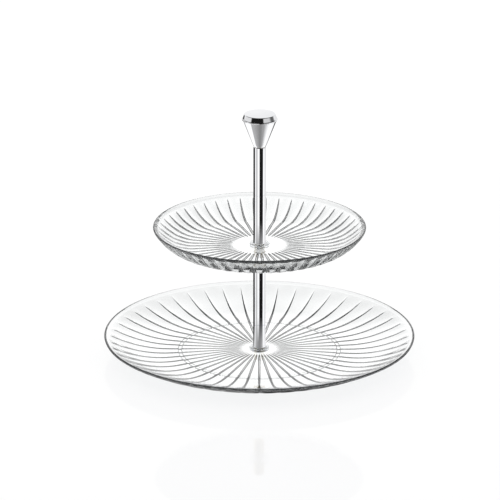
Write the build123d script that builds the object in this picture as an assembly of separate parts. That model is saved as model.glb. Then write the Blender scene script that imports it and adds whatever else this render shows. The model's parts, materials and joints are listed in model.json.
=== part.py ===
from build123d import *

import os

# Two-tier cake stand: two pressed-glass dishes clamped on a chromed tube stem, with a cone-shaped knob on top.
# Millimetres. The origin is on the table at the centre of the foot ring, +Z runs up the stem.

# Driving dimensions: the dishes
GLASS = 4.5              # thickness of both floors
HOLE_RADIUS = 5.0        # hole in the middle of each dish

LOWER_RIM_RADIUS = 160.0
LOWER_DEPTH = 16.5       # rim to the inside of the floor, at its edge
LOWER_FLOOR_RADIUS = 92.0
LOWER_KICK = 0.8         # how far the middle of the floor stands above its edge
LOWER_KICK_RADII = (40.0, 78.0)
LOWER_FOOT_HEIGHT = 1.4
LOWER_FOOT_RADII = (80.0, 84.0)

UPPER_RIM_RADIUS = 109.0
UPPER_DEPTH = 19.5
UPPER_FLOOR_RADIUS = 68.0

FOOT_DRAFT = 0.2         # how far the foot ring's sides lean in, for each 1 mm of its height

RIM_WIDTH = 4.6          # the bevelled lip on top of each wall
RIM_DROP = 2.2
RIM_ROUND = 1.2
RIM_SIDE = 2.6           # upright outer edge below the lip
RIM_UNDERCUT = 0.5

# Driving dimensions: the stem
TUBE_RADIUS = 6.5
TUBE_WALL = 1.0
TUBE_EDGE = 0.5
LOWER_TUBE_LENGTH = 100.5
UPPER_TUBE_LENGTH = 103.3
COLLAR_RADIUS = 5.1
COLLAR_LENGTH = 6.0
WASHER_RADIUS = 10.25
WASHER_THICKNESS = 1.2
PAD_THICKNESS = 0.6
KNOB_WASHER_RADIUS = 5.6
KNOB_WASHER_THICKNESS = 0.5

# Driving dimensions: M6 fastenings, modelled with plain cylinders for their threads
THREAD_RADIUS = 3.0
TIGHT = 0.02             # radial clearance where a piece is fixed
RUNNING = 0.06           # radial clearance where a piece turns
LOOSE = 0.10             # radial clearance in washers and sleeves
BUSH_LENGTH = 12.0
BUSH_INSET = 0.3
ENGAGED = 10.0           # length of thread taken up in each bush
HEAD_RADIUS = 8.5
HEAD_THICKNESS = 1.2
SOCKET_ACROSS_FLATS = 3.0
SOCKET_DEPTH = 3.0
THREAD_CHAMFER = 0.5

# Driving dimensions: the knob
KNOB_FOOT_RADIUS = 6.3
KNOB_NECK_RADIUS = 7.35
KNOB_NECK_HEIGHT = 2.3
KNOB_CONE_RADIUS = 17.4
KNOB_CONE_HEIGHT = 27.9
KNOB_RADIUS = 18.15      # widest, halfway up the band
KNOB_BAND_HEIGHT = 2.0
KNOB_TOP_RADIUS = 15.85
KNOB_HEIGHT = 34.8
KNOB_DOME = 0.5
INSERT_RADIUS = 5.0

# Heights up the stem, from the table
lower_floor_edge = LOWER_FOOT_HEIGHT + GLASS
lower_rim = lower_floor_edge + LOWER_DEPTH
lower_floor = lower_floor_edge + LOWER_KICK
lower_underside = lower_floor - GLASS
lower_tube_foot = lower_floor + WASHER_THICKNESS
lower_tube_top = lower_tube_foot + LOWER_TUBE_LENGTH
collar_top = lower_tube_top + COLLAR_LENGTH
upper_underside = collar_top + WASHER_THICKNESS
upper_floor = upper_underside + GLASS
upper_rim = upper_floor + UPPER_DEPTH
upper_tube_foot = upper_floor + WASHER_THICKNESS
upper_tube_top = upper_tube_foot + UPPER_TUBE_LENGTH
knob_foot = upper_tube_top + KNOB_WASHER_THICKNESS


def turned(outline):
    """The solid that a closed outline in the XZ plane makes when it turns about Z."""
    return revolve(make_face(outline), Axis.Z)


def point(radius, height):
    return Vector(radius, 0, height)


def straight(points):
    """Straight edges through (radius, height) points."""
    return [Line(point(*a), point(*b)) for a, b in zip(points, points[1:])]


def bowed(start, end):
    """An arc that leaves its start level and rises outwards to its end."""
    return TangentArc(point(*start), point(*end), tangent=(1, 0, 0))


def ring(inner, outer, bottom, top, edge=0.0):
    """A washer or tube, with its rims rounded by edge."""
    outline = straight([(inner, bottom), (outer, bottom), (outer, top), (inner, top), (inner, bottom)])
    solid = turned(outline)
    if edge:
        rims = [e for e in solid.edges().filter_by(GeomType.CIRCLE) if abs(e.radius - outer) < edge]
        solid = fillet(rims, edge)
    return solid


def rod(radius, bottom, top):
    """A threaded rod, with chamfered ends."""
    solid = Pos(0, 0, bottom) * Cylinder(radius, top - bottom, align=(Align.CENTER, Align.CENTER, Align.MIN))
    return chamfer(solid.edges().filter_by(GeomType.CIRCLE), THREAD_CHAMFER)


def dish(rim_radius, rim, floor, floor_radius, kick=0.0, kick_radii=(), foot_height=0.0, foot_radii=()):
    """A round glass dish with a hole: a floor, a wall that curves up to a bevelled lip, and a foot ring.

    The middle of the floor can stand higher than its edge, by kick between the kick radii.
    """
    underside = floor - GLASS
    lip = (rim_radius - RIM_WIDTH, rim - RIM_DROP)
    crest = (rim_radius - RIM_ROUND, rim)
    shoulder = (rim_radius, rim - RIM_ROUND)
    skirt = (rim_radius - RIM_UNDERCUT, rim - RIM_SIDE)
    under_edge = (floor_radius + GLASS * 0.5, underside)
    step = list(zip(kick_radii, (kick, 0.0)))
    inside = [(HOLE_RADIUS, floor + kick), *((r, floor + h) for r, h in step), (floor_radius, floor)]
    outside = [(HOLE_RADIUS, underside + kick), *((r, underside + h) for r, h in step)]
    foot = []
    if foot_height:
        inner, outer = foot_radii
        slope = FOOT_DRAFT * foot_height
        foot = [
            (inner, underside),
            (inner + slope, underside - foot_height),
            (outer - slope, underside - foot_height),
            (outer, underside),
        ]
    outline = [
        *straight(inside),
        bowed(inside[-1], lip),
        *straight([lip, crest]),
        TangentArc(point(*shoulder), point(*crest), tangent=(0, 0, 1)),
        *straight([shoulder, skirt]),
        bowed(under_edge, skirt),
        *straight([inside[0], *outside, *foot, under_edge]),
    ]
    return turned(outline)


def knob():
    """A cone that widens to a rounded band, with a bevel above it and a low dome on top."""
    cone_top = (KNOB_CONE_RADIUS, KNOB_CONE_HEIGHT)
    band_middle = (KNOB_RADIUS, KNOB_CONE_HEIGHT + KNOB_BAND_HEIGHT * 0.5)
    band_top = (KNOB_CONE_RADIUS, KNOB_CONE_HEIGHT + KNOB_BAND_HEIGHT)
    bore_top = BUSH_LENGTH + BUSH_INSET
    side = [
        (0, bore_top),
        (INSERT_RADIUS + TIGHT, bore_top),
        (INSERT_RADIUS + TIGHT, 0),
        (KNOB_FOOT_RADIUS, 0),
        (KNOB_NECK_RADIUS, KNOB_NECK_HEIGHT),
        cone_top,
    ]
    top_edge = (KNOB_TOP_RADIUS, KNOB_HEIGHT - KNOB_DOME)
    dome = (0, KNOB_HEIGHT)
    outline = [
        *straight(side),
        ThreePointArc(point(*cone_top), point(*band_middle), point(*band_top)),
        *straight([band_top, top_edge]),
        TangentArc(point(*dome), point(*top_edge), tangent=(1, 0, 0)),
        *straight([dome, (0, bore_top)]),
    ]
    return Pos(0, 0, knob_foot) * turned(outline)


def base_screw():
    """A wide flat-headed screw that comes up through the lower dish, with a hexagon socket."""
    head_bottom = lower_underside - PAD_THICKNESS - HEAD_THICKNESS
    head_top = head_bottom + HEAD_THICKNESS
    head = ring(0, HEAD_RADIUS, head_bottom, head_top, TUBE_EDGE)
    shank_top = lower_tube_foot + BUSH_INSET + ENGAGED
    solid = head + rod(THREAD_RADIUS, head_bottom + HEAD_THICKNESS * 0.5, shank_top)
    socket = extrude(RegularPolygon(SOCKET_ACROSS_FLATS / 2, 6, major_radius=False), SOCKET_DEPTH)
    return solid - Pos(0, 0, head_bottom) * socket


def bush(bottom, bore):
    """A threaded plug pressed into the end of a tube."""
    return ring(bore, TUBE_RADIUS - TUBE_WALL - TIGHT, bottom, bottom + BUSH_LENGTH)


def tube(bottom, length):
    return ring(TUBE_RADIUS - TUBE_WALL, TUBE_RADIUS, bottom, bottom + length, TUBE_EDGE)


def sleeve(bottom):
    """A clear liner in a dish's hole, a little shorter than the glass is thick."""
    return ring(THREAD_RADIUS + LOOSE, HOLE_RADIUS - LOOSE, bottom + LOOSE, bottom + GLASS - LOOSE)


def washer(bottom, thickness=WASHER_THICKNESS, radius=WASHER_RADIUS):
    return ring(THREAD_RADIUS + LOOSE, radius, bottom, bottom + thickness, thickness * 0.2)


parts = {
    # Lower dish
    "lower_plate": dish(
        LOWER_RIM_RADIUS,
        lower_rim,
        lower_floor_edge,
        LOWER_FLOOR_RADIUS,
        LOWER_KICK,
        LOWER_KICK_RADII,
        LOWER_FOOT_HEIGHT,
        LOWER_FOOT_RADII,
    ),
    "lower_plate_sleeve": sleeve(lower_underside),
    "lower_plate_pad": washer(lower_underside - PAD_THICKNESS, PAD_THICKNESS),
    "base_screw": base_screw(),
    # Lower stem
    "lower_stem_washer": washer(lower_floor),
    "lower_stem_tube": tube(lower_tube_foot, LOWER_TUBE_LENGTH),
    "lower_stem_foot_bush": bush(lower_tube_foot + BUSH_INSET, THREAD_RADIUS + RUNNING),
    "lower_stem_top_bush": bush(lower_tube_top - BUSH_INSET - BUSH_LENGTH, THREAD_RADIUS + TIGHT),
    "joining_stud": rod(
        THREAD_RADIUS, lower_tube_top - BUSH_INSET - ENGAGED, upper_tube_foot + BUSH_INSET + ENGAGED
    ),
    "plate_collar": ring(THREAD_RADIUS + TIGHT, COLLAR_RADIUS, lower_tube_top, collar_top, 0.3),
    "upper_plate_pad": washer(collar_top),
    # Upper dish
    "upper_plate": dish(UPPER_RIM_RADIUS, upper_rim, upper_floor, UPPER_FLOOR_RADIUS),
    "upper_plate_sleeve": sleeve(upper_underside),
    # Upper stem
    "upper_stem_washer": washer(upper_floor),
    "upper_stem_tube": tube(upper_tube_foot, UPPER_TUBE_LENGTH),
    "upper_stem_foot_bush": bush(upper_tube_foot + BUSH_INSET, THREAD_RADIUS + RUNNING),
    "upper_stem_top_bush": bush(upper_tube_top - BUSH_INSET - BUSH_LENGTH, THREAD_RADIUS + TIGHT),
    "knob_stud": rod(THREAD_RADIUS, upper_tube_top - BUSH_INSET - ENGAGED, knob_foot + ENGAGED),
    # Knob
    "knob_washer": washer(upper_tube_top, KNOB_WASHER_THICKNESS, KNOB_WASHER_RADIUS),
    "knob": knob(),
    "knob_insert": ring(THREAD_RADIUS + RUNNING, INSERT_RADIUS, knob_foot + BUSH_INSET, knob_foot + BUSH_LENGTH),
}

os.makedirs("parts", exist_ok=True)
for name, solid in parts.items():
    solid.label = name
    export_step(solid, f"parts/{name}.step")
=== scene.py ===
import json
import math

import bpy
import numpy as np
from mathutils import Matrix, Vector

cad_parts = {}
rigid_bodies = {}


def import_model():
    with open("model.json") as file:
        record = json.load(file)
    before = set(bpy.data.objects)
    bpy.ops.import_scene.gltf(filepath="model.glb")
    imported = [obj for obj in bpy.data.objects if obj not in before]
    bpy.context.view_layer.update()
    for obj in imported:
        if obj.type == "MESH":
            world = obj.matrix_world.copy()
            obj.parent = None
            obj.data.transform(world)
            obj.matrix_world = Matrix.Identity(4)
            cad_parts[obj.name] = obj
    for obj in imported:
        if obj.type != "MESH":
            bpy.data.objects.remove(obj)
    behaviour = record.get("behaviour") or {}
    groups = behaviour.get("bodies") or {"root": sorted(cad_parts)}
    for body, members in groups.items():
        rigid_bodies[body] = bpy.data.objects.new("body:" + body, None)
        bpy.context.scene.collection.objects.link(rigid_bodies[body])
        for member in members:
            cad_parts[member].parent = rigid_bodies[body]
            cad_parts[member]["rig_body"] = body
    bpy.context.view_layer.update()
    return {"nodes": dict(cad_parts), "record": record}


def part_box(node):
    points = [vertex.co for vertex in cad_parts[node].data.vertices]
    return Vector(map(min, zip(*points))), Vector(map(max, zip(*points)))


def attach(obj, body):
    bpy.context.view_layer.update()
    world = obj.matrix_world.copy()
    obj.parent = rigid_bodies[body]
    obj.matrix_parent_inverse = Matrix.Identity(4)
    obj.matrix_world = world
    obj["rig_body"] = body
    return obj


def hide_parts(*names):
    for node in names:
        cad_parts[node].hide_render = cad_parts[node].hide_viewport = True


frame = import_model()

# Tiered cake stand. Metres, in the CAD frame: the origin is on the table, +Z runs up the stem.

MM = 0.001

# The dishes' sections, as in the CAD model
GLASS = 4.5 * MM
HOLE_RADIUS = 5.0 * MM
FOOT_DRAFT = 0.2       # how far the foot ring's sides lean in, for each 1 mm of its height
RIM_WIDTH = 4.6 * MM
RIM_DROP = 2.2 * MM
RIM_ROUND = 1.2 * MM
RIM_SIDE = 2.6 * MM
RIM_UNDERCUT = 0.5 * MM
DISHES = {
    "lower_plate": {
        "depth": 16.5 * MM,
        "floor_radius": 92.0 * MM,
        "kick": 0.8 * MM,            # how far the middle of the floor stands above its edge
        "kick_radii": (40.0 * MM, 78.0 * MM),
        "foot_height": 1.4 * MM,
        "foot_radii": (80.0 * MM, 84.0 * MM),
        "clear_radius": 17.0 * MM,   # the disc without grooves, round the hole
        "tip_inset": 6.0 * MM,       # from the rim to the grooves' outer tips
        "groove_width": 2.5 * MM,
        "groove_depth": 1.2 * MM,
        "taper": 0.6,                # the power of the distance to its tip by which a groove narrows
        "wall_shade_cover": 1.0,           # how dark the grooves' painted shade is on the wall, against the floor
        "lobe": 0.25 * MM,           # how far the glass bulges between grooves, on the wall
        "turn": 0.0,                 # of a groove's pitch
    },
    "upper_plate": {
        "depth": 19.5 * MM,
        "floor_radius": 68.0 * MM,
        "kick": 0.0,
        "kick_radii": (40.0 * MM, 60.0 * MM),
        "foot_height": 0.0,
        "foot_radii": (),
        "clear_radius": 27.0 * MM,
        "tip_inset": 3.0 * MM,
        "groove_width": 3.0 * MM,
        "groove_depth": 1.3 * MM,
        "taper": 0.3,
        "wall_shade_cover": 0.65,
        "lobe": 0.6 * MM,
        "turn": 0.5,
    },
}
GROOVES = 48
GROOVE_FLAT = 0.15       # the share of a groove's width that is flat, between its steep sides
# Painted shade: the dark grey painted on the grooves, on the walls near the rim and along the rim's edge
GROOVE_SHADE_GREY = (0.03, 0.032, 0.034)
GROOVE_SHADE_COVER = 0.96      # how much of the clear glass the painted shade hides, in a groove's sides
WALL_SHADE_COVER = 0.11        # of a groove's cover: painted shade, the soft grey of the walls towards the rim
WALL_SHADE_WIDTH = 30.0 * MM
RIM_SHADE_DROP = 1.1 * MM      # how far down the outer edge the rim's line of painted shade goes
RIM_SHADE_COVER = 0.7          # of a groove's cover: painted shade, a grey line along the rounded outer edge
GROOVE_CROWDING = 0.58   # the most of the way round that grooves take up, near the middle
LEAST_GROOVE = 0.3 * MM  # a groove's least width in the mesh, where its depth has run out

# Turned pieces
TUBE_WALL = 1.0 * MM
THREAD_PITCH = 1.0 * MM
THREAD_DEPTH = 0.6 * MM
HEAD_THICKNESS = 1.2 * MM
SOCKET_DEPTH = 3.0 * MM
SOCKET_RADIUS = 1.73 * MM
TURNED_STEPS = 192
SEAT_GAP = 0.01 * MM     # left at each face of a washer, so that it shares no face with what it touches
COLLAR_BORE = 3.05 * MM
WASHER_BORE = 3.1 * MM
SCREW_RADIUS = 3.0 * MM
THREAD_COLUMNS = 48
THREAD_ROWS = 12         # for each turn

# Camera: a long lens, a little above the upper dish
CAMERA_PLACE = Vector((0, -4.0, 1.5209))
CAMERA_PITCH = math.radians(19.389)
CAMERA_YAW = math.radians(0.1396)
CAMERA_ROLL = math.radians(0.0756)
LENS_MM = 297.92
SENSOR_MM = 36.0

# Studio: grey bands round the room in degrees, 0 towards the front and 90 to the right
STEEP_BANDS = (
    (-180, -150, 0.30),
    (-140, -86, 1.0),
    (-80, -66, 0.42),
    (-4, 14, 0.24),
    (34, 44, 0.33),
    (88, 136, 1.0),
    (145, 180, 0.05),
)
LOW_BANDS = (
    (-180, -162, 0.8),
    (-162, -94, 0.03),
    (-88, -74, 1.0),
    (-68, -40, 0.55),
    (-34, -4, 1.0),
    (-2, 60, 0.01),
    (66, 88, 1.0),
    (100, 180, 0.75),
)
HIGH_BANDS = (
    (-180, -130, 0.85),
    (-110, -66, 0.7),
    (-58, 23, 0.01),
    (30, 70, 0.6),
    (85, 105, 0.12),
    (120, 180, 0.85),
)
STEEP_EDGE = (-0.44, -0.38)   # sines of the elevations where one set of bands gives way to the next
HORIZON_EDGE = (-0.04, 0.04)
CEILING_STOPS = ((0.0, 1.0), (0.42, 1.0), (0.55, 0.08), (1.0, 0.03))
THROUGH_STOPS = ((-1.0, 0.85), (-0.42, 0.85), (-0.35, 1.0), (0.25, 1.0), (0.60, 0.3), (1.0, 0.1))
TURNED_STOPS = ((-1.0, 1.0), (0.2, 0.95), (0.45, 0.6), (1.0, 0.5))
DEEP_STOPS = ((-1.0, 0.9), (0.1, 0.9), (0.4, 0.6), (1.0, 0.4))
STUDIO_STRENGTH = 1.2
SOFTBOX_WATTS = 110
SOFTBOX_SIZE = (6.0, 6.0)
SOFTBOX_HEIGHT = 3.2
TABLE_HALF = 12.0
TABLE_DROP = 0.0002      # below the foot ring
TABLE_GREY = 0.4
TABLE_GLOW = 0.56        # the table's own light, which keeps it pale
MIRRORED_TINT = (0.86, 0.865, 0.885)   # of glass and plastic, as the table shows them


# ---------------------------------------------------------------- node helpers

# A Mix node's colour sockets, which share their names with its other sockets
MIX_A = 6
MIX_B = 7
MIX_RESULT = 2


def material(name):
    """A new material with an empty node tree, and its output node."""
    made = bpy.data.materials.new(name)
    made.use_nodes = True
    made.node_tree.nodes.clear()
    output = made.node_tree.nodes.new("ShaderNodeOutputMaterial")
    return made, made.node_tree, output


def node(tree, kind, **settings):
    """A node with its attributes, and its input sockets by name where the key has a leading capital."""
    made = tree.nodes.new(kind)
    for key, value in settings.items():
        if key[0].isupper():
            made.inputs[key.replace("_", " ")].default_value = value
        else:
            setattr(made, key, value)
    return made


def noise(tree, scale, detail=3.0, stretch=(1, 1, 1)):
    """Noise in object space with features of about 1/scale metres, drawn out where stretch is small."""
    place = node(tree, "ShaderNodeTexCoord")
    mapping = node(tree, "ShaderNodeMapping", Scale=stretch)
    texture = node(tree, "ShaderNodeTexNoise", Scale=scale, Detail=detail)
    tree.links.new(place.outputs["Object"], mapping.inputs["Vector"])
    tree.links.new(mapping.outputs["Vector"], texture.inputs["Vector"])
    return texture.outputs["Fac"]


def between(tree, factor, low, high):
    """A number that runs from low to high as the factor runs from 0.3 to 0.7."""
    ramp = node(tree, "ShaderNodeMapRange")
    ramp.inputs["From Min"].default_value = 0.3
    ramp.inputs["From Max"].default_value = 0.7
    ramp.inputs["To Min"].default_value = low
    ramp.inputs["To Max"].default_value = high
    tree.links.new(factor, ramp.inputs["Value"])
    return ramp.outputs["Result"]


def shade(tree, factor, dark, light):
    """A colour that runs from dark to light as the factor runs from 0.3 to 0.7."""
    ramp = node(tree, "ShaderNodeValToRGB")
    ramp.color_ramp.elements[0].position = 0.3
    ramp.color_ramp.elements[0].color = (*dark, 1)
    ramp.color_ramp.elements[1].position = 0.7
    ramp.color_ramp.elements[1].color = (*light, 1)
    tree.links.new(factor, ramp.inputs["Fac"])
    return ramp.outputs["Color"]


def bump(tree, height, strength, distance):
    """A normal from a height."""
    made = node(tree, "ShaderNodeBump", Strength=strength, Distance=distance)
    tree.links.new(height, made.inputs["Height"])
    return made.outputs["Normal"]


def combine(tree, operation, first, second):
    """A Math node on two outputs, or on an output and a number."""
    made = node(tree, "ShaderNodeMath", operation=operation)
    tree.links.new(first, made.inputs[0])
    if isinstance(second, float):
        made.inputs[1].default_value = second
    else:
        tree.links.new(second, made.inputs[1])
    return made.outputs[0]


def past(tree, bounces, *depths):
    """1 for light that has met more than this many surfaces of these kinds on its way, else 0."""
    path = node(tree, "ShaderNodeLightPath")
    total = path.outputs[depths[0]]
    for depth in depths[1:]:
        total = combine(tree, "ADD", total, path.outputs[depth])
    return combine(tree, "GREATER_THAN", total, bounces + 0.5)


def mix_colours(tree, factor, first, second):
    """A colour between two, each an output or a fixed colour."""
    mix = node(tree, "ShaderNodeMix", data_type="RGBA")
    tree.links.new(factor, mix.inputs[0])
    for socket, colour in ((mix.inputs[MIX_A], first), (mix.inputs[MIX_B], second)):
        if isinstance(colour, tuple):
            socket.default_value = (*colour, 1)
        else:
            tree.links.new(colour, socket)
    return mix.outputs[MIX_RESULT]


def mix_shaders(tree, factor, first, second):
    """A shader node between two others."""
    mix = node(tree, "ShaderNodeMixShader")
    tree.links.new(factor, mix.inputs[0])
    tree.links.new(first.outputs[0], mix.inputs[1])
    tree.links.new(second.outputs[0], mix.inputs[2])
    return mix


def let_lamps_through(tree, shader, output, tint, edge_tint):
    """Shadow and diffuse rays pass the surface, a little dimmed, and more where it is steep to them.

    Rays that something reflected pass it too, if they haven't gone through anything yet. They keep their
    colour where it faces up, and take the mirrored tint where it faces down, which is what the table shows.
    """
    path = node(tree, "ShaderNodeLightPath")
    lamps = combine(tree, "MAXIMUM", path.outputs["Is Shadow Ray"], path.outputs["Is Diffuse Ray"])
    outside = combine(tree, "LESS_THAN", path.outputs["Transmission Depth"], 0.5)
    reflected = combine(tree, "MULTIPLY", past(tree, 0, "Glossy Depth"), outside)
    either = combine(tree, "MAXIMUM", lamps, reflected)
    facing = node(tree, "ShaderNodeLayerWeight", Blend=0.35)
    colour = mix_colours(tree, facing.outputs["Facing"], tint, edge_tint)
    geometry = node(tree, "ShaderNodeNewGeometry")
    height = node(tree, "ShaderNodeSeparateXYZ")
    tree.links.new(geometry.outputs["Normal"], height.inputs[0])
    underside = combine(tree, "LESS_THAN", height.outputs["Z"], 0.0)
    mirrored = mix_colours(tree, underside, (1, 1, 1), MIRRORED_TINT)
    clear = node(tree, "ShaderNodeBsdfTransparent")
    tree.links.new(mix_colours(tree, reflected, colour, mirrored), clear.inputs["Color"])
    tree.links.new(mix_shaders(tree, either, shader, clear).outputs[0], output.inputs["Surface"])


# ---------------------------------------------------------------- materials


def pressed_glass():
    """Clear glass with the faint waviness of a pressed surface, and painted shade, a dark grey, where the
    mesh is marked.
    """
    made, tree, output = material("pressed_glass")
    shader = node(tree, "ShaderNodeBsdfPrincipled", Base_Color=(0.985, 0.995, 0.995, 1), IOR=1.5)
    shader.inputs["Transmission Weight"].default_value = 1.0
    # Painted shade: a dark grey mixed over the glass, as far as the mesh's 'groove' attribute says
    groove = node(tree, "ShaderNodeAttribute", attribute_name="groove")
    grey = node(tree, "ShaderNodeBsdfPrincipled", Base_Color=(*GROOVE_SHADE_GREY, 1), Roughness=0.4)
    shade_cover = combine(tree, "MULTIPLY", groove.outputs["Fac"], GROOVE_SHADE_COVER)
    glass_and_shade = mix_shaders(tree, shade_cover, shader, grey)
    ripple = noise(tree, 90.0, 2.0)
    tree.links.new(between(tree, noise(tree, 35.0), 0.0, 0.015), shader.inputs["Roughness"])
    tree.links.new(bump(tree, ripple, 0.12, 0.0003), shader.inputs["Normal"])
    let_lamps_through(tree, glass_and_shade, output, (0.97, 0.975, 0.975), (0.62, 0.64, 0.65))
    return made


def chrome():
    """Polished chrome plate, with fine wiping marks round the stem."""
    made, tree, output = material("chrome")
    shader = node(tree, "ShaderNodeBsdfPrincipled", Metallic=1.0)
    marks = noise(tree, 60.0, 4.0, (1, 1, 12))
    plate = shade(tree, noise(tree, 25.0), (0.80, 0.81, 0.83), (0.90, 0.90, 0.915))
    tree.links.new(plate, shader.inputs["Base Color"])
    tree.links.new(between(tree, marks, 0.015, 0.05), shader.inputs["Roughness"])
    tree.links.new(bump(tree, marks, 0.02, 0.0001), shader.inputs["Normal"])
    tree.links.new(shader.outputs[0], output.inputs["Surface"])
    return made


def turned_metal(name, dark, light, smooth, rough, grain):
    """Metal with turning marks round the stem."""
    made, tree, output = material(name)
    shader = node(tree, "ShaderNodeBsdfPrincipled", Metallic=1.0)
    rings = noise(tree, 40.0, 5.0, (1, 1, grain))
    tree.links.new(shade(tree, rings, dark, light), shader.inputs["Base Color"])
    tree.links.new(between(tree, noise(tree, 300.0), smooth, rough), shader.inputs["Roughness"])
    tree.links.new(bump(tree, rings, 0.25, 0.0001), shader.inputs["Normal"])
    tree.links.new(shader.outputs[0], output.inputs["Surface"])
    return made


def clear_plastic():
    """Soft translucent plastic, cloudier in places."""
    made, tree, output = material("clear_plastic")
    shader = node(tree, "ShaderNodeBsdfPrincipled", IOR=1.35)
    shader.inputs["Transmission Weight"].default_value = 0.95
    cloud = noise(tree, 400.0)
    tree.links.new(shade(tree, cloud, (0.88, 0.89, 0.90), (0.97, 0.975, 0.98)), shader.inputs["Base Color"])
    tree.links.new(between(tree, cloud, 0.05, 0.12), shader.inputs["Roughness"])
    tree.links.new(bump(tree, noise(tree, 900.0), 0.1, 0.0001), shader.inputs["Normal"])
    let_lamps_through(tree, shader, output, (0.8, 0.81, 0.82), (0.55, 0.56, 0.57))
    return made


MATERIALS = {
    "glass": pressed_glass(),
    "chrome": chrome(),
    "satin_steel": turned_metal("satin_steel", (0.50, 0.51, 0.52), (0.70, 0.71, 0.72), 0.28, 0.42, 60),
    "zinc_steel": turned_metal("zinc_steel", (0.60, 0.61, 0.63), (0.78, 0.79, 0.81), 0.18, 0.30, 30),
    "brass": turned_metal("brass", (0.58, 0.46, 0.26), (0.78, 0.66, 0.42), 0.20, 0.34, 60),
    "clear_plastic": clear_plastic(),
}
SLOTS = {row["node"]: row["material_slot"] for row in frame["record"]["subparts"]}


# ---------------------------------------------------------------- meshes


def piece(name, vertices, faces, node_name, sharp_angle=35):
    """A smooth-shaded mesh that stands for a CAD node and rides on its body."""
    mesh = bpy.data.meshes.new(name)
    mesh.from_pydata(vertices, [], faces)
    mesh.validate()
    mesh.shade_smooth()
    mesh.set_sharp_from_angle(angle=math.radians(sharp_angle))
    made = bpy.data.objects.new(name, mesh)
    bpy.context.scene.collection.objects.link(made)
    slot = SLOTS[node_name]
    made.data.materials.append(MATERIALS[slot])
    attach(made, frame["nodes"][node_name]["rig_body"])
    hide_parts(node_name)
    return made


def loop_faces(rings, columns):
    """Quads between closed rings of columns vertices each, and from the last ring back to the first."""
    faces = []
    for ring in range(rings):
        here, there = ring * columns, (ring + 1) % rings * columns
        for column in range(columns):
            after = (column + 1) % columns
            faces.append((here + column, here + after, there + after, there + column))
    return faces


def arc_points(start, end, steps):
    """Points, as (radius, height), after start on the arc that leaves it level and rises out to end."""
    run, rise = end[0] - start[0], end[1] - start[1]
    radius = (run * run + rise * rise) / (2 * rise)
    full = math.asin(run / radius)
    angles = [full * (step + 1) / steps for step in range(steps)]
    return [(start[0] + radius * math.sin(a), start[1] + radius * (1 - math.cos(a))) for a in angles]


def line_points(start, end, steps):
    """Points after start on a straight line to end."""
    shares = [(step + 1) / steps for step in range(steps)]
    return [(start[0] + (end[0] - start[0]) * s, start[1] + (end[1] - start[1]) * s) for s in shares]


def rounded(corner, before, after, radius, steps=4):
    """Points that round a corner between two neighbours."""
    corner, before, after = (np.array(p) for p in (corner, before, after))
    to_before = (before - corner) / np.linalg.norm(before - corner)
    to_after = (after - corner) / np.linalg.norm(after - corner)
    start, end = corner + to_before * radius, corner + to_after * radius
    shares = [step / steps for step in range(steps + 1)]
    return [tuple((1 - s) ** 2 * start + 2 * s * (1 - s) * corner + s * s * end) for s in shares]


def chain(points, steps):
    """Points along straight lines through points, after the first, with steps for each line."""
    chained = []
    for start, end, count in zip(points, points[1:], steps):
        chained += line_points(start, end, count)
    return chained


def dish_section(size, rim_radius, rim):
    """A dish's closed section as two lists of (radius, height): its smooth top and its grooved underside."""
    floor = rim - size["depth"]
    underside = floor - GLASS
    floor_radius = size["floor_radius"]
    lip = (rim_radius - RIM_WIDTH, rim - RIM_DROP)
    crest = (rim_radius - RIM_ROUND, rim)
    skirt = (rim_radius - RIM_UNDERCUT, rim - RIM_SIDE)
    kick = size["kick"]
    kick_inner, kick_outer = size["kick_radii"]

    hole_edge = (HOLE_RADIUS, floor + kick)
    top = [(HOLE_RADIUS, underside + kick + GLASS * 0.5)]
    top += rounded(hole_edge, top[0], (floor_radius, floor + kick), 0.3 * MM)
    top += chain([top[-1], (kick_inner, floor + kick), (kick_outer, floor), (floor_radius, floor)], (4, 5, 3))
    wall = arc_points((floor_radius, floor), lip, 28)
    top += wall[:-1]
    top += rounded(lip, wall[-2], crest, 0.7 * MM)
    top += line_points(top[-1], (crest[0] - 0.4 * MM, crest[1] - 0.3 * MM), 3)
    rim_turns = [math.radians(90 - 15 * step) for step in range(7)]
    top += [
        (crest[0] + RIM_ROUND * math.cos(a), rim - RIM_ROUND + RIM_ROUND * math.sin(a)) for a in rim_turns
    ]
    top += line_points(top[-1], skirt, 3)

    under_edge = (floor_radius + GLASS * 0.5, underside)
    under = arc_points(under_edge, skirt, 44)[::-1][1:] + [under_edge]
    if size["foot_height"]:
        under += foot_ring(size, underside, under[-1], kick_outer)
    clear = size["clear_radius"]
    corners = [
        under[-1],
        (kick_outer, underside),
        (kick_inner, underside + kick),
        (clear + 1 * MM, underside + kick),
        (clear - 2 * MM, underside + kick),
        (HOLE_RADIUS + 0.3 * MM, underside + kick),
    ]
    under += chain(corners, (2, 8, 5, 3, 4))
    under += rounded((HOLE_RADIUS, underside + kick), under[-1], top[0], 0.3 * MM)[1:]
    return top, under


def foot_ring(size, underside, before, kick_outer):
    """The part of a dish's section that goes round its foot ring, from the outside in."""
    inner, outer = size["foot_radii"]
    foot = underside - size["foot_height"]
    slope = FOOT_DRAFT * size["foot_height"]
    corners = [(outer, underside), (outer - slope, foot), (inner + slope, foot), (inner, underside)]
    ring = line_points(before, (outer + 0.6 * MM, underside), 6)
    before = ring[-1]
    for index, corner in enumerate(corners):
        after = (*corners, (kick_outer, underside))[index + 1]
        ring += rounded(corner, before, after, 0.25 * MM, 3)
        before = corner
    return ring


def ease(value, low, high):
    """0 below low and 1 above high, smooth between."""
    share = np.clip((value - low) / (high - low), 0, 1)
    return share * share * (3 - 2 * share)


def groove_taper(radius, size, rim_radius):
    """How much of its full width a groove has at a radius: it narrows up the wall, to nothing at its tip."""
    tip = rim_radius - size["tip_inset"]
    inner_end = ease(radius, size["clear_radius"], size["clear_radius"] + 3 * MM)
    return inner_end * np.clip((tip - radius) / (tip - size["floor_radius"]), 0, 1) ** size["taper"]


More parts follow.
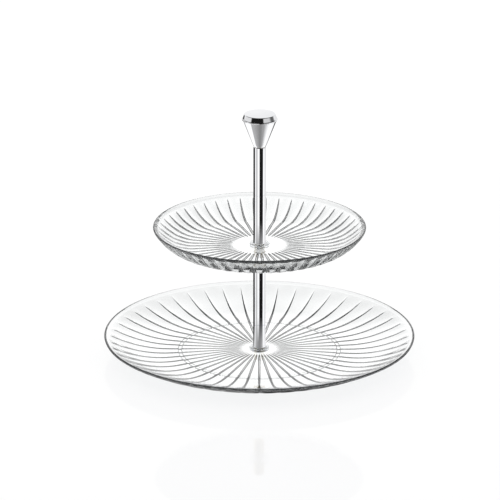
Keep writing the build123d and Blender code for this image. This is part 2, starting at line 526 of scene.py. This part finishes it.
def fluted_dish(name):
    """A dish whose underside has radial grooves, narrow and sharp, with low lobes between them.

    Its "groove" attribute marks how much painted shade, a dark grey, covers the glass: in grooves, up the
    walls and along the rim.
    """
    size = DISHES[name]
    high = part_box(name)[1]
    rim_radius, rim = high.x, high.z
    top, under = dish_section(size, rim_radius, rim)
    section = np.array(top + under)
    smooth = len(top)

    # Outward normals of the section, which runs from the top side out to the rim and back underneath
    ahead = np.roll(section, -1, axis=0) - np.roll(section, 1, axis=0)
    length = np.linalg.norm(ahead, axis=1)[:, None]
    normal = np.stack([-ahead[:, 1], ahead[:, 0]], axis=1) / length

    across = np.array([-1, -0.88, -0.65, -0.3, 0.3, 0.65, 0.88, 1])     # over half a groove's width
    between_grooves = np.linspace(0, 1, 8)[1:-1]                          # over a lobe
    # Painted shade across a groove: dark along its two sides, or over its whole width
    side_shade = np.array([0, 1, 1, 0.3, 0.3, 1, 1, 0])
    full_shade = np.array([0, 1, 1, 1, 1, 1, 1, 0]) * size["wall_shade_cover"]
    columns = GROOVES * (len(across) + len(between_grooves))
    pitch = 2 * math.pi / GROOVES
    vertices = np.zeros((len(section), columns, 3))
    marks = np.zeros((len(section), columns))
    for ring, (radius, height) in enumerate(section):
        taper = groove_taper(radius, size, rim_radius)
        width = max(min(size["groove_width"], GROOVE_CROWDING * pitch * radius) * taper, LEAST_GROOVE)
        half = 0.5 * width / radius
        angles = [half * share for share in across]
        angles += [half + (pitch - 2 * half) * share for share in between_grooves]
        sink = [*ease(1 - abs(across), 0, 1 - GROOVE_FLAT)] + [0.0] * len(between_grooves)
        depth = min(size["groove_depth"] * taper ** 0.5, 0.6 * width) * min(1, 4 * taper)
        bulge = [0.0] * len(across) + [1 - (2 * share - 1) ** 2 for share in between_grooves]
        wall_share = ease(radius, size["floor_radius"], rim_radius - 15 * MM)
        rim_share = 1 - ease(radius, rim_radius - size["tip_inset"] - 4 * MM, rim_radius - 1.5 * MM)
        hole_share = ease(radius, HOLE_RADIUS, size["clear_radius"] * 2)
        lobe = size["lobe"] * (0.1 + 0.9 * wall_share) * rim_share * hole_share
        under_share = 1.0 if ring >= smooth else 0.0
        # Painted shade in the grooves, which spreads from their sides over their whole width towards the wall
        filled = ease(radius, size["floor_radius"] * 0.6, size["floor_radius"] * 1.1)
        groove_shade = (side_shade + (full_shade - side_shade) * filled) * min(1, 3 * taper) * under_share
        for groove in range(GROOVES):
            start = (groove + size["turn"]) * pitch
            for step, angle in enumerate(angles):
                inward = under_share * (depth * sink[step] - lobe * (bulge[step] - 1))
                r = radius - normal[ring, 0] * inward
                z = height - normal[ring, 1] * inward
                column = groove * len(angles) + step
                turn = start + angle
                vertices[ring, column] = (r * math.sin(turn), r * math.cos(turn), z)
            first = groove * len(angles)
            marks[ring, first:first + len(across)] = groove_shade
        # Painted shade: a soft grey on the underside, growing towards the rim
        if ring >= smooth:
            wall_shade = WALL_SHADE_COVER * ease(radius, rim_radius - WALL_SHADE_WIDTH, rim_radius - RIM_WIDTH)
            marks[ring] = np.maximum(marks[ring], wall_shade)
        # Painted shade: a grey line along the rim's rounded outer edge
        if radius > rim_radius - RIM_ROUND and rim - height < RIM_SHADE_DROP:
            marks[ring] = RIM_SHADE_COVER
    faces = loop_faces(len(section), columns)
    made = piece(f"{name}_glass", vertices.reshape(-1, 3).tolist(), faces, name, 50)
    # The painted shade goes on the mesh as its 'groove' attribute
    attribute = made.data.attributes.new("groove", "FLOAT", "POINT")
    attribute.data.foreach_set("value", marks.ravel())


def turned_piece(name, section, node_name, steps=TURNED_STEPS, sharp_angle=25):
    """A closed section of (radius, height) turned about the stem."""
    angles = [2 * math.pi * step / steps for step in range(steps)]
    vertices = [(r * math.cos(a), r * math.sin(a), z) for r, z in section for a in angles]
    return piece(name, vertices, loop_faces(len(section), steps), node_name, sharp_angle)


def ring_section(inner, outer, bottom, top, edge, inner_edge=None):
    """The section of a ring with rounded corners, anticlockwise from its inner bottom corner."""
    inner_edge = edge if inner_edge is None else inner_edge
    corners = [(inner, bottom), (outer, bottom), (outer, top), (inner, top)]
    edges = [inner_edge, edge, edge, inner_edge]
    section = []
    for index, corner in enumerate(corners):
        section += rounded(corner, corners[index - 1], corners[(index + 1) % 4], edges[index], 5)
    return section


def solid_section(points):
    """The section of a piece with no hole: the axis points are drawn out to a hair's width."""
    return [(max(r, 0.01 * MM), z) for r, z in points]


def tube(node_name):
    """A chromed tube, which the other pieces and the table don't mirror."""
    low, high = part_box(node_name)
    section = ring_section(high.x - TUBE_WALL, high.x, low.z, high.z, 0.5 * MM, 0.2 * MM)
    made = turned_piece(f"{node_name}_chromed", section, node_name)
    made.visible_glossy = False


def washer(node_name):
    """A soft ring with rounded edges."""
    low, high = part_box(node_name)
    edge = (high.z - low.z) * 0.3
    section = ring_section(WASHER_BORE, high.x, low.z + SEAT_GAP, high.z - SEAT_GAP, edge)
    turned_piece(f"{node_name}_ring", section, node_name)


def knob():
    """The chromed cone, with a rounded band at its widest and a bevel up to its top."""
    low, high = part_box("knob")
    widest = high.x
    foot, top = low.z, high.z
    cone_radius, cone_height = widest - 0.75 * MM, foot + 27.9 * MM
    band_height = 2.0 * MM
    bevel_radius, bevel_height = widest - 2.3 * MM, top - 0.5 * MM
    bore_radius, bore_top = 5.02 * MM, foot + 12.3 * MM
    neck = (widest - 10.8 * MM, foot + 2.3 * MM)
    section = [(0, bore_top), (bore_radius, bore_top)]
    section += rounded((bore_radius, foot), section[-1], (6.3 * MM, foot), 0.2 * MM)
    section += rounded((6.3 * MM, foot), (bore_radius, foot), neck, 0.25 * MM)
    section += rounded(neck, (6.3 * MM, foot), (cone_radius, cone_height), 0.6 * MM)
    section += line_points(section[-1], (cone_radius - 0.2 * MM, cone_height - 0.5 * MM), 10)
    turns = [math.pi * (step / 10 - 0.5) for step in range(11)]
    swell = widest - cone_radius
    section += [
        (cone_radius + swell * math.cos(a), cone_height + band_height * 0.5 * (1 + math.sin(a)))
        for a in turns
    ]
    section += rounded(
        (bevel_radius, bevel_height), (cone_radius, cone_height + band_height), (0, top), 0.5 * MM, 6
    )
    dome = [(bevel_radius - 0.5 * MM) * (1 - step / 8) for step in range(1, 9)]
    section += [(r, top - 0.5 * MM * (r / bevel_radius) ** 2) for r in dome]
    turned_piece("knob_chromed", solid_section(section), "knob")


def threaded_rod(node_name, outer, bottom, top, head=None):
    """A rod with a helical M6 thread that runs out at both ends. head is a screw head's radius and bottom."""
    steps = THREAD_COLUMNS
    rows = int((top - bottom) / THREAD_PITCH * THREAD_ROWS)
    vertices = []
    for row in range(rows + 1):
        height = bottom + (top - bottom) * row / rows
        end = min(height - bottom, top - height)
        chamfer = min(1.0, 0.55 + end / (0.9 * MM))
        for step in range(steps):
            turn = 2 * math.pi * step / steps
            phase = (height / THREAD_PITCH - step / steps) % 1
            cut = abs(2 * phase - 1)
            r = (outer - THREAD_DEPTH * min(1, max(0, 1.3 * cut - 0.15))) * chamfer
            vertices.append((r * math.cos(turn), r * math.sin(turn), height))
    faces = []
    for row in range(rows):
        here = row * steps
        for step in range(steps):
            after = (step + 1) % steps
            faces.append((here + step, here + after, here + steps + after, here + steps + step))
    last = rows * steps
    faces.append(tuple(range(last, last + steps)))
    if head:
        radius, head_bottom = head
        edge = 0.4 * MM
        outline = rounded((radius, bottom), (outer, bottom), (radius, head_bottom), edge)
        outline += rounded((radius, head_bottom), (radius, bottom), (outer, head_bottom), edge)
        outline += [(SOCKET_RADIUS + 0.3 * MM, head_bottom)]
        first = len(vertices)
        for r, z in outline:
            for step in range(steps):
                turn = 2 * math.pi * step / steps
                vertices.append((r * math.cos(turn), r * math.sin(turn), z))
        for z in (head_bottom + 0.2 * MM, head_bottom + SOCKET_DEPTH):
            for step in range(steps):
                turn = 2 * math.pi * step / steps
                side = math.cos(math.pi / 6) / math.cos(turn % (math.pi / 3) - math.pi / 6)
                r = SOCKET_RADIUS * side
                vertices.append((r * math.cos(turn), r * math.sin(turn), z))
        rings = len(outline) + 2
        starts = [0] + [first + ring * steps for ring in range(rings)]
        for here, there in zip(starts, starts[1:]):
            for step in range(steps):
                after = (step + 1) % steps
                faces.append((here + step, there + step, there + after, here + after))
        end = starts[-1]
        faces.append(tuple(range(end, end + steps)))
    else:
        faces.append(tuple(reversed(range(steps))))
    piece(f"{node_name}_threaded", vertices, faces, node_name, 30)


def base_screw():
    """The screw from below, with a wide flat head."""
    low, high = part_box("base_screw")
    head_top = low.z + HEAD_THICKNESS
    threaded_rod("base_screw", SCREW_RADIUS, head_top, high.z, (high.x, low.z))


def stud(node_name):
    """A rod that is threaded along its whole length."""
    low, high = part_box(node_name)
    threaded_rod(node_name, high.x, low.z, high.z)


def collar():
    """The collar that the upper dish rests on."""
    low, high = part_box("plate_collar")
    section = ring_section(COLLAR_BORE, high.x, low.z, high.z, 0.35 * MM)
    turned_piece("plate_collar_turned", section, "plate_collar")


for dish_name in DISHES:
    fluted_dish(dish_name)
for tube_name in ("lower_stem_tube", "upper_stem_tube"):
    tube(tube_name)
for washer_name in (
    "lower_plate_pad",
    "lower_stem_washer",
    "upper_plate_pad",
    "upper_stem_washer",
    "knob_washer",
):
    washer(washer_name)
for stud_name in ("joining_stud", "knob_stud"):
    stud(stud_name)
base_screw()
collar()
knob()

for name, cad_node in frame["nodes"].items():
    cad_node.data.materials.clear()
    cad_node.data.materials.append(MATERIALS[SLOTS[name]])


# ---------------------------------------------------------------- studio


def floor():
    """A wide pale table with a faint gloss. Chrome and glass show the studio round it, not the table."""
    made, tree, output = material("table_top")
    grey = (TABLE_GREY, TABLE_GREY, TABLE_GREY, 1)
    shader = node(tree, "ShaderNodeBsdfPrincipled", Base_Color=grey, Roughness=0.03, IOR=1.35)
    shader.inputs["Emission Color"].default_value = (1, 1, 1, 1)
    shader.inputs["Emission Strength"].default_value = TABLE_GLOW
    clear = node(tree, "ShaderNodeBsdfTransparent")
    from_object = past(tree, 0, "Glossy Depth", "Transmission Depth")
    tree.links.new(mix_shaders(tree, from_object, shader, clear).outputs[0], output.inputs["Surface"])
    half = TABLE_HALF
    corners = [(-half, -half, 0), (half, -half, 0), (half, half, 0), (-half, half, 0)]
    mesh = bpy.data.meshes.new("table_top")
    mesh.from_pydata(corners, [], [(0, 1, 2, 3)])
    mesh.materials.append(made)
    table = bpy.data.objects.new("table_top", mesh)
    table.location.z = -TABLE_DROP
    bpy.context.scene.collection.objects.link(table)


def grey_ramp(tree, factor, stops):
    """Greys along a factor from 0 to 1, from (place, grey) stops."""
    ramp = node(tree, "ShaderNodeValToRGB")
    elements = ramp.color_ramp.elements
    while len(elements) < len(stops):
        elements.new(0.5)
    for element, (place_on, value) in zip(elements, stops):
        element.position = place_on
        element.color = (value, value, value, 1)
    tree.links.new(factor, ramp.inputs["Fac"])
    return ramp.outputs["Color"]


def round_the_room(*bands):
    """Ramp stops for grey bands, each (from, to, grey) in degrees, 0 to the front and 90 to the right."""
    return [((degrees + 180) / 360, grey) for start, end, grey in bands for degrees in (start, end)]


def stacked(tree, rise, edge, lower, upper):
    """One colour below a height and another above it, soft between the edge's two values."""
    blend = node(tree, "ShaderNodeMapRange")
    blend.inputs["From Min"].default_value = edge[0]
    blend.inputs["From Max"].default_value = edge[1]
    tree.links.new(rise, blend.inputs["Value"])
    return mix_colours(tree, blend.outputs["Result"], lower, upper)


def sky():
    """A studio that looks different to each kind of ray, so that each can be set on its own.

    The camera sees plain white. Reflections see dark and bright bands round the room and a dim ceiling.
    Light that went through the glass, and light reflected inside it, see greys that change with height.
    """
    world = bpy.data.worlds.new("studio")
    bpy.context.scene.world = world
    world.use_nodes = True
    tree = world.node_tree
    tree.nodes.clear()
    output = node(tree, "ShaderNodeOutputWorld")
    place = node(tree, "ShaderNodeTexCoord")
    split = node(tree, "ShaderNodeSeparateXYZ")
    tree.links.new(place.outputs["Generated"], split.inputs[0])
    front = combine(tree, "MULTIPLY", split.outputs["Y"], -1.0)
    turn = combine(tree, "ARCTAN2", split.outputs["X"], front)
    around = node(tree, "ShaderNodeMapRange")
    around.inputs["From Min"].default_value = -math.pi
    around.inputs["From Max"].default_value = math.pi
    tree.links.new(turn, around.inputs["Value"])

    steep, low, high = (
        grey_ramp(tree, around.outputs["Result"], round_the_room(*bands))
        for bands in (STEEP_BANDS, LOW_BANDS, HIGH_BANDS)
    )
    rising = grey_ramp(tree, split.outputs["Z"], CEILING_STOPS)
    upper = node(tree, "ShaderNodeMix", data_type="RGBA", blend_type="MULTIPLY")
    upper.inputs[0].default_value = 1.0
    tree.links.new(high, upper.inputs[MIX_A])
    tree.links.new(rising, upper.inputs[MIX_B])
    lower = stacked(tree, split.outputs["Z"], STEEP_EDGE, steep, low)
    room = stacked(tree, split.outputs["Z"], HORIZON_EDGE, lower, upper.outputs[MIX_RESULT])

    rise = node(tree, "ShaderNodeMapRange")
    rise.inputs["From Min"].default_value = -1.0
    tree.links.new(split.outputs["Z"], rise.inputs["Value"])
    through, turned_back, deep = (
        grey_ramp(tree, rise.outputs["Result"], [((sine + 1) / 2, grey) for sine, grey in stops])
        for stops in (THROUGH_STOPS, TURNED_STOPS, DEEP_STOPS)
    )
    inside = mix_colours(tree, past(tree, 2, "Transmission Depth"), turned_back, deep)
    mirrored = mix_colours(tree, past(tree, 0, "Transmission Depth"), room, inside)
    seen = mix_colours(tree, past(tree, 0, "Glossy Depth"), through, mirrored)
    studio = node(tree, "ShaderNodeBackground", Strength=STUDIO_STRENGTH)
    tree.links.new(seen, studio.inputs["Color"])
    plain = node(tree, "ShaderNodeBackground", Color=(1, 1, 1, 1), Strength=STUDIO_STRENGTH)
    path = node(tree, "ShaderNodeLightPath")
    sides = mix_shaders(tree, path.outputs["Is Camera Ray"], studio, plain)
    tree.links.new(sides.outputs[0], output.inputs["Surface"])


def softbox(name, place, target, size, power):
    """A soft area light that faces a point."""
    data = bpy.data.lights.new(name, "AREA")
    data.shape = "RECTANGLE"
    data.size, data.size_y = size
    data.energy = power
    lamp = bpy.data.objects.new(name, data)
    lamp.location = place
    lamp.rotation_mode = "QUATERNION"
    lamp.rotation_quaternion = (Vector(target) - Vector(place)).to_track_quat("-Z", "Y")
    lamp.visible_glossy = False
    lamp.visible_transmission = False
    bpy.context.scene.collection.objects.link(lamp)


def camera():
    """The photo's viewing angle, from the fitted place, pitch, yaw and roll."""
    data = bpy.data.cameras.new("camera")
    data.lens = LENS_MM
    data.sensor_width = SENSOR_MM
    data.clip_end = 100
    made = bpy.data.objects.new("camera", data)
    bpy.context.scene.collection.objects.link(made)
    ahead = Vector(
        (
            -math.sin(CAMERA_YAW) * math.cos(CAMERA_PITCH),
            math.cos(CAMERA_YAW) * math.cos(CAMERA_PITCH),
            -math.sin(CAMERA_PITCH),
        )
    )
    right = Vector((math.cos(CAMERA_YAW), math.sin(CAMERA_YAW), 0))
    up = right.cross(ahead)
    rolled_right = right * math.cos(CAMERA_ROLL) + up * math.sin(CAMERA_ROLL)
    rolled_up = up * math.cos(CAMERA_ROLL) - right * math.sin(CAMERA_ROLL)
    turn = Matrix((rolled_right, rolled_up, -ahead)).transposed()
    made.matrix_world = Matrix.Translation(CAMERA_PLACE) @ turn.to_4x4()
    bpy.context.scene.camera = made


camera()
floor()
sky()
softbox("overhead", (0, 0, SOFTBOX_HEIGHT), (0, 0, 0), SOFTBOX_SIZE, SOFTBOX_WATTS)

scene = bpy.context.scene
scene.view_settings.view_transform = "Standard"
scene.cycles.max_bounces = 32
scene.cycles.transmission_bounces = 32
scene.cycles.glossy_bounces = 12
scene.cycles.transparent_max_bounces = 32
scene.cycles.caustics_reflective = False
scene.cycles.caustics_refractive = False
scene.cycles.use_denoising = True
scene.cycles.sample_clamp_indirect = 8.0
